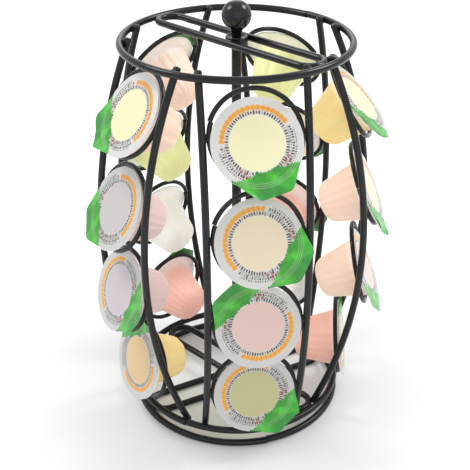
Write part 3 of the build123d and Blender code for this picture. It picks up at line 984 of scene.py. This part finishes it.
class CAROUSEL_OT_post(bpy.types.Operator):
    """Turn the centre post, the bushings, the hub and the washer"""
    bl_idname = "carousel.post"
    bl_label = "Post and bushings"

    def execute(self, context):
        wire, post = context.scene.carousel_wire, context.scene.carousel_post
        cup = context.scene.carousel_capsules
        finish = slot_material("wire")
        radius, bore, edge = post.post / 2, post.post / 2 + post.clearance, post.edge
        knob_foot = knob_foot_height(wire, post, cup)
        post_top = wire.top_height + post.ball_height - post.ball / 8
        piece = turn_piece("centre_post_rod", [
            (0, 0), (radius, 0), (radius, knob_foot), (post.spigot / 2, knob_foot),
            (post.spigot / 2, post_top - edge), (post.spigot / 2 - edge, post_top), (0, post_top),
        ], finish, 48)
        seat(piece, "base", "wire", "centre_post")

        collar = (wire.loop_width - wire.frame_wire) / 2 + wire.weld_bite
        half = post.bushing_height / 2
        for node, height in (("bottom_bushing", wire.bottom_height), ("top_bushing", wire.top_height)):
            low, high = height - half, height + half
            rim = [(bore, high)]
            if node == "top_bushing":
                floor = high - post.dish_depth
                rim = [(post.dish_rim / 2, high), (post.dish_rim / 2 - 0.0003, high - 0.0001),
                       (post.dish_floor / 2 + 0.0003, floor + 0.0001),
                       (post.dish_floor / 2, floor), (bore, floor)]
            points = [(bore, low), (collar - edge, low), (collar, low + edge),
                      (collar, high - edge), (collar - edge, high)] + rim + [(bore, low)]
            seat(turn_piece(node + "_collar", points, finish, 96), "carousel", "wire", node)

        washer_foot = wire.bottom_height - half - cup.seat_gap - post.washer_thickness
        boss = post.boss / 2
        piece = turn_piece("base_hub_collar", [
            (radius, 0), (collar - edge, 0), (collar, edge), (collar, wire.frame_wire - edge),
            (collar - edge, wire.frame_wire), (boss, wire.frame_wire), (boss, washer_foot),
            (radius, washer_foot), (radius, 0)], finish, 96)
        seat(piece, "base", "wire", "base_hub")

        top, out, lip = washer_foot + post.washer_thickness, post.washer / 2, 0.00015
        piece = turn_piece("thrust_washer_disc", [
            (bore, washer_foot), (out - lip, washer_foot), (out, washer_foot + lip), (out, top - lip),
            (out - lip, top), (bore, top), (bore, washer_foot)], slot_material("washer"), 96)
        seat(piece, "base", "washer", "thrust_washer")
        return {"FINISHED"}


def knob_foot_height(wire, post, cup):
    return wire.top_height + post.bushing_height / 2 - post.dish_depth + cup.seat_gap


class CAROUSEL_OT_knob(bpy.types.Operator):
    """Turn the ball knob with its neck"""
    bl_idname = "carousel.knob"
    bl_label = "Ball knob"

    def execute(self, context):
        wire, post = context.scene.carousel_wire, context.scene.carousel_post
        foot = knob_foot_height(wire, post, context.scene.carousel_capsules)
        centre, ball = wire.top_height + post.ball_height, post.ball / 2
        neck, flare, bore = post.neck / 2, post.neck_flare, post.spigot / 2
        points = [(bore, foot), (neck - 0.0002, foot), (neck, foot + 0.0002)]
        reach = neck + flare
        middle = centre - sqrt((ball + flare) ** 2 - reach ** 2)
        begin = asin(reach / (ball + flare))
        for step in range(9):
            lean = (pi / 2 - begin) * step / 8
            points.append((reach - flare * cos(lean), middle + flare * sin(lean)))
        for step in range(1, 49):
            lean = begin + (pi - begin) * step / 48
            points.append((max(ball * sin(lean), 0.0), centre - ball * cos(lean)))
        points[-1] = (0.0, centre + ball)
        top = centre - ball / 4
        points += [(0.0, top), (bore, top), (bore, foot)]
        seat(turn_piece("ball_knob_turned", points, slot_material("knob"), 96), "base", "knob", "ball_knob")
        return {"FINISHED"}


def cup_profile(cup, steps_down=30, steps_nose=14):
    """Profile of a cup from the middle of its flange's top round to its nose."""
    flange, neck, shoulder = cup.flange / 2, cup.neck / 2, cup.shoulder / 2
    thick, lip = cup.flange_thickness, 0.00028
    points = [(0.0, thick), (neck * 0.5, thick), (neck, thick), (flange - lip, thick)]
    points += [(flange - lip * 0.3, thick - lip * 0.3), (flange, thick - lip), (flange, lip),
               (flange - lip * 0.3, lip * 0.3), (flange - lip, 0.0)]
    points += [(neck + 0.0009, 0.0), (neck + 0.0003, -0.0002), (neck, -0.0009)]
    slope = (shoulder - neck) / cup.shoulder_depth
    for step in range(1, steps_down + 1):
        z = -0.0009 - (cup.shoulder_depth - 0.0009) * step / steps_down
        points.append((neck + slope * -z, z))
    lean = atan2(neck - shoulder, cup.shoulder_depth)
    for step in range(1, steps_nose + 1):
        t = step / steps_nose
        reach = cup.depth - cup.shoulder_depth
        a = (shoulder, -cup.shoulder_depth)
        b = (shoulder - sin(lean) * reach * 0.75, -cup.shoulder_depth - cos(lean) * reach * 0.75)
        c = (shoulder * 0.60, -cup.depth)
        d = (0.0, -cup.depth)
        weights = ((1 - t) ** 3, 3 * t * (1 - t) ** 2, 3 * t * t * (1 - t), t ** 3)
        points.append(tuple(sum(p[k] * weight for p, weight in zip((a, b, c, d), weights)) for k in (0, 1)))
    return points


class CAROUSEL_OT_cups(bpy.types.Operator):
    """Mould the capsules' cups and seat each in its ring"""
    bl_idname = "carousel.cups"
    bl_label = "Cups"

    def execute(self, context):
        scene = context.scene
        wire, ring, cup = scene.carousel_wire, scene.carousel_rings, scene.carousel_capsules
        slots = {s["node"]: s["material_slot"] for s in frame["record"]["subparts"]}
        points = cup_profile(cup)
        for column in COLUMNS:
            for tier in range(TIERS):
                place = capsule_place(wire, ring, cup, column, tier)
                name = f"{column}_{tier + 1}"
                slot = slots["cup_" + name]
                fluted = CUP_PATTERNS[column][tier] == "fluted"
                piece = turn_piece(
                    f"cup_{name}_shell", points, slot_material(slot), 200 if fluted else 144, place,
                    flutes=cup.flutes if fluted else cup.petals,
                    flute_depth=cup.flute_depth if fluted else cup.petal_depth,
                    sharpness=1.6 if fluted else 3.5, flute_top=-0.0015, flute_ease=0.004,
                    fade_radius=cup.shoulder / 2)
                seat(piece, "capsule_" + name, slot, "cup_" + name)
        return {"FINISHED"}


class CAROUSEL_OT_lids(bpy.types.Operator):
    """Press the foil lids and seal each on its cup"""
    bl_idname = "carousel.lids"
    bl_label = "Foil lids"

    def execute(self, context):
        scene = context.scene
        wire, ring, cup = scene.carousel_wire, scene.carousel_rings, scene.carousel_capsules
        slots = {s["node"]: s["material_slot"] for s in frame["record"]["subparts"]}
        for number, column in enumerate(COLUMNS):
            for tier in range(TIERS):
                name = f"{column}_{tier + 1}"
                slot = slots["lid_" + name]
                place = capsule_place(wire, ring, cup, column, tier)
                turn = Matrix.Rotation(radians(TAB_TURNS[column][tier]), 4, "Z")
                rise = Matrix.Translation((0, 0, cup.flange_thickness))
                for curl in TAB_CURLS:
                    mesh = lid_mesh(f"lid_{name}_foil", cup, number * TIERS + tier, curl)
                    mesh.transform(place @ turn @ rise)
                    if inside_frame(mesh):
                        break
                mesh.materials.append(slot_material(slot))
                piece = bpy.data.objects.new(f"lid_{name}_foil", mesh)
                scene.collection.objects.link(piece)
                tidy_mesh(mesh)
                seat(piece, "capsule_" + name, slot, "lid_" + name)
        return {"FINISHED"}


def inside_frame(mesh):
    """Whether a mesh stays inside the box of the whole part."""
    low, high = CAD_BOX
    return all(low[k] < v.co[k] < high[k] for v in mesh.vertices for k in range(3))


def tab_edge(cup, turn):
    """Distance of the lid's outline from its middle, at a turn from the tab's own direction."""
    rim = cup.flange / 2
    root = sqrt(rim ** 2 - (cup.tab_root / 2) ** 2)
    tip = rim + cup.tab_reach
    across, along = sin(turn), cos(turn)
    if along <= 0 or abs(across) > cup.tab_root / 2 / rim:
        return rim
    straight = tip / along
    if abs(straight * across) > cup.tab_tip / 2:
        run = (cup.tab_root - cup.tab_tip) / 2
        fall = tip - root
        straight = (cup.tab_tip / 2 * fall + run * tip) / (abs(across) * fall + along * run)
    corner = (cup.tab_tip / 2) / hypot(cup.tab_tip / 2, tip)
    near = max(0.0, 1 - abs(abs(across) - corner) / 0.07)
    return max(rim, straight - 0.0007 * near ** 2)


def lid_height(cup, x, y, radius, turn, seed, curl):
    """Height of the foil's face: pressed ridges, creases and the curl of the tab."""
    rim = cup.flange / 2
    share = radius / rim
    height = cup.foil
    if 0.83 < share < 0.985:
        height += cup.ridge * (0.5 + 0.5 * cos((share - RIDGE_START) * 2 * pi / RIDGE_STEP))
    if share < 0.83:
        sag = (1 - (share / 0.83) ** 2)
        height += 0.00012 * sag
    grain = noise.noise(Vector((x * 140 + seed * 7.3, y * 140, seed * 1.7)))
    creases = noise.noise(Vector((x * 420, y * 420 + seed * 3.1, seed * 2.9)))
    height += cup.crinkle * (grain * 0.8 + creases * 0.35) * (1.0 if share < 0.97 else 0.6)
    if share > 0.99:
        out = (radius - rim * 0.99) / cup.tab_reach
        side = abs(sin(turn)) * radius / (cup.tab_tip / 2)
        lean = noise.noise(Vector((seed * 5.1, 2.0, 1.0)))
        twist = 1 + 0.8 * lean * (1 if x > 0 else -1)
        height += curl * cup.tab_curl * out ** 1.5 * (0.25 + 0.75 * min(side, 1.3) ** 3) * max(0.2, twist)
        height += curl * 0.00035 * out * noise.noise(Vector((x * 260 + seed, y * 260, 4.0)))
    return height


def lid_mesh(name, cup, seed, curl, steps=180):
    """Foil lid about +Z, its tab towards -Y and its underside at zero, its tab curled by a share."""
    rim = cup.flange / 2
    shares = [0.1, 0.2, 0.3, 0.4, 0.48, 0.56, 0.64, 0.71, 0.77, 0.81, 0.83]
    shares += [0.83 + 0.155 * k / 20 for k in range(1, 21)] + [1.0]
    shell = bmesh.new()
    layer = shell.loops.layers.uv.new("UVMap")

    def ring_of(radius_at, top):
        ring = []
        for step in range(steps):
            turn = 2 * pi * step / steps
            radius = radius_at(turn)
            x, y = radius * sin(turn), -radius * cos(turn)
            height = lid_height(cup, x, y, radius, turn, seed, curl)
            if not top:
                height = 0.0 if radius <= rim * 0.9901 else max(0.0, height - cup.foil * 0.8)
                if radius <= rim * 1.0001:
                    height = 0.0
            ring.append(shell.verts.new((x, y, height)))
        return ring

    def join(first, second):
        for step in range(steps):
            after = (step + 1) % steps
            shell.faces.new((first[step], first[after], second[after], second[step]))

    def past(share):
        return lambda turn: rim + (tab_edge(cup, turn) - rim) * share

    top_rings = [ring_of(lambda turn, r=share * rim: r, True) for share in shares]
    top_rings += [ring_of(past(share), True) for share in (0.25, 0.5, 0.75, 1.0)]
    low_rings = [ring_of(past(share), False) for share in (1.0, 0.75, 0.5, 0.25)]
    low_rings += [ring_of(lambda turn, r=share * rim: r, False) for share in (1.0, 0.7, 0.35)]
    rings = top_rings + low_rings
    for first, second in zip(rings, rings[1:]):
        join(first, second)
    for ring, height in ((rings[0], cup.foil + 0.00012), (rings[-1], 0.0)):
        hub = shell.verts.new((0, 0, height))
        for step in range(steps):
            after = (step + 1) % steps
            pair = (ring[after], ring[step]) if ring is rings[0] else (ring[step], ring[after])
            shell.faces.new((hub, *pair))
    bmesh.ops.remove_doubles(shell, verts=shell.verts, dist=0.000002)
    for face in shell.faces:
        for loop in face.loops:
            loop[layer].uv = (0.5 + loop.vert.co.x / UV_SPAN, 0.5 + loop.vert.co.y / UV_SPAN)
    mesh = bpy.data.meshes.new(name)
    shell.to_mesh(mesh)
    shell.free()
    return mesh


class CAROUSEL_OT_stage(bpy.types.Operator):
    """Set the floor, the soft studio lights and the camera"""
    bl_idname = "carousel.stage"
    bl_label = "Stage"

    def execute(self, context):
        scene = context.scene
        self.floor(scene)
        self.world(scene)
        lamps = {
            "Soft_left": ((-0.72, 0.20, 1.02), 0.42, 4.6),
            "Soft_right": ((0.76, 0.10, 1.00), 0.38, 5.4),
            "Soft_back": ((0.1, 1.0, 0.85), 0.6, 1.7),
            "Soft_front": ((0.1, -1.3, 0.65), 1.2, 2.0),
        }
        for name, (place, size, power) in lamps.items():
            light = bpy.data.lights.new(name, "AREA")
            light.shape, light.size, light.energy = "SQUARE", size, power
            lamp = bpy.data.objects.new(name, light)
            lamp.location = place
            aim = Vector((0, 0, 0.13)) - Vector(place)
            lamp.rotation_euler = aim.to_track_quat("-Z", "Y").to_euler()
            scene.collection.objects.link(lamp)
        self.camera(scene)
        scene.view_settings.view_transform = "Standard"
        return {"FINISHED"}

    def floor(self, scene):
        mesh = bpy.data.meshes.new("Floor")
        mesh.from_pydata([(-4, -4, 0), (4, -4, 0), (4, 4, 0), (-4, 4, 0)], [], [(0, 1, 2, 3)])
        floor = bpy.data.objects.new("Floor", mesh)
        scene.collection.objects.link(floor)
        material = bpy.data.materials.new("Floor_pale")
        material.use_nodes = True
        material.node_tree.nodes.clear()
        w = Weaver(material.node_tree)
        matt = w.node("ShaderNodeBsdfDiffuse", {"Color": (0.795, 0.815, 0.822, 1.0)})
        path = w.node("ShaderNodeLightPath").outputs
        seen = w.calc("MAXIMUM", path["Is Camera Ray"],
                      w.calc("MAXIMUM", path["Is Glossy Ray"], path["Is Transmission Ray"]))
        spot = w.split(w.out("ShaderNodeTexCoord", "Object"))
        away = w.calc("SQRT", w.calc("ADD", w.calc("MULTIPLY", spot[0], spot[0]),
                                     w.calc("MULTIPLY", spot[1], spot[1])))
        # Painted shade: the glow that camera and reflections see is weaker near the axis, so the floor is
        # greyer round the carousel
        glow = w.node("ShaderNodeEmission", {
            "Color": (1.0, 1.0, 1.0, 1.0),
            "Strength": w.calc("MULTIPLY", seen, w.ramp(away, *FLOOR_FADE, *FLOOR_GLOW))})
        both = w.node("ShaderNodeAddShader", {0: matt.outputs[0], 1: glow.outputs[0]})
        w.node("ShaderNodeOutputMaterial", {"Surface": both.outputs[0]})
        mesh.materials.append(material)

    def world(self, scene):
        world = bpy.data.worlds.new("Studio")
        world.use_nodes = True
        world.node_tree.nodes.clear()
        w = Weaver(world.node_tree)
        path = w.node("ShaderNodeLightPath").outputs
        seen = w.calc("MAXIMUM", path["Is Camera Ray"],
                      w.calc("MAXIMUM", path["Is Glossy Ray"], path["Is Transmission Ray"]))
        strength = w.calc("MULTIPLY_ADD", seen, 1 - SKY_LIGHT, SKY_LIGHT)
        back = w.node("ShaderNodeBackground", {"Color": (1.0, 1.0, 1.0, 1.0), "Strength": strength})
        w.node("ShaderNodeOutputWorld", {"Surface": back.outputs[0]})
        scene.world = world

    def camera(self, scene):
        """Camera at the photograph's angle, worked out for its 470 by 470 frame."""
        turn, rise, far = radians(-8.9), radians(29.43), 0.6366
        back = Vector((sin(turn) * cos(rise), -cos(turn) * cos(rise), sin(rise)))
        lens = bpy.data.cameras.new("Camera")
        lens.sensor_width, lens.lens = 36.0, 72.84
        lens.shift_x = -0.0032
        lens.clip_start = 0.01
        camera = bpy.data.objects.new("Camera", lens)
        camera.location = Vector((0, 0, 0.1215)) + back * far
        camera.rotation_euler = (-back).to_track_quat("-Z", "Y").to_euler()
        scene.collection.objects.link(camera)
        scene.camera = camera


class CAROUSEL_PT_pieces(bpy.types.Panel):
    """Buttons and sizes of the carousel"""
    bl_idname = "CAROUSEL_PT_pieces"
    bl_label = "Capsule Carousel"
    bl_space_type = "VIEW_3D"
    bl_region_type = "UI"
    bl_category = "Carousel"

    def draw(self, context):
        for maker in OPERATORS:
            self.layout.operator(maker.bl_idname)
        for key in GROUPS:
            group = getattr(context.scene, key)
            box = self.layout.box()
            for name in type(group).__annotations__:
                box.prop(group, name)


GROUPS = {
    "carousel_wire": WireSizes,
    "carousel_rings": RingSizes,
    "carousel_post": PostSizes,
    "carousel_capsules": CapsuleSizes,
    "carousel_finishes": Finishes,
}
OPERATORS = (
    CAROUSEL_OT_hoops,
    CAROUSEL_OT_loops,
    CAROUSEL_OT_uprights,
    CAROUSEL_OT_rings,
    CAROUSEL_OT_beads,
    CAROUSEL_OT_post,
    CAROUSEL_OT_knob,
    CAROUSEL_OT_cups,
    CAROUSEL_OT_lids,
    CAROUSEL_OT_stage,
)


def register():
    for item in (*GROUPS.values(), *OPERATORS, CAROUSEL_PT_pieces):
        bpy.utils.register_class(item)
    for key, group in GROUPS.items():
        setattr(bpy.types.Scene, key, PointerProperty(type=group))


def unregister():
    for key in GROUPS:
        delattr(bpy.types.Scene, key)
    for item in (CAROUSEL_PT_pieces, *reversed(OPERATORS), *reversed(tuple(GROUPS.values()))):
        bpy.utils.unregister_class(item)


def main():
    register()
    for maker in OPERATORS:
        area, action = maker.bl_idname.split(".")
        getattr(getattr(bpy.ops, area), action)()


if __name__ == "__main__":
    main()
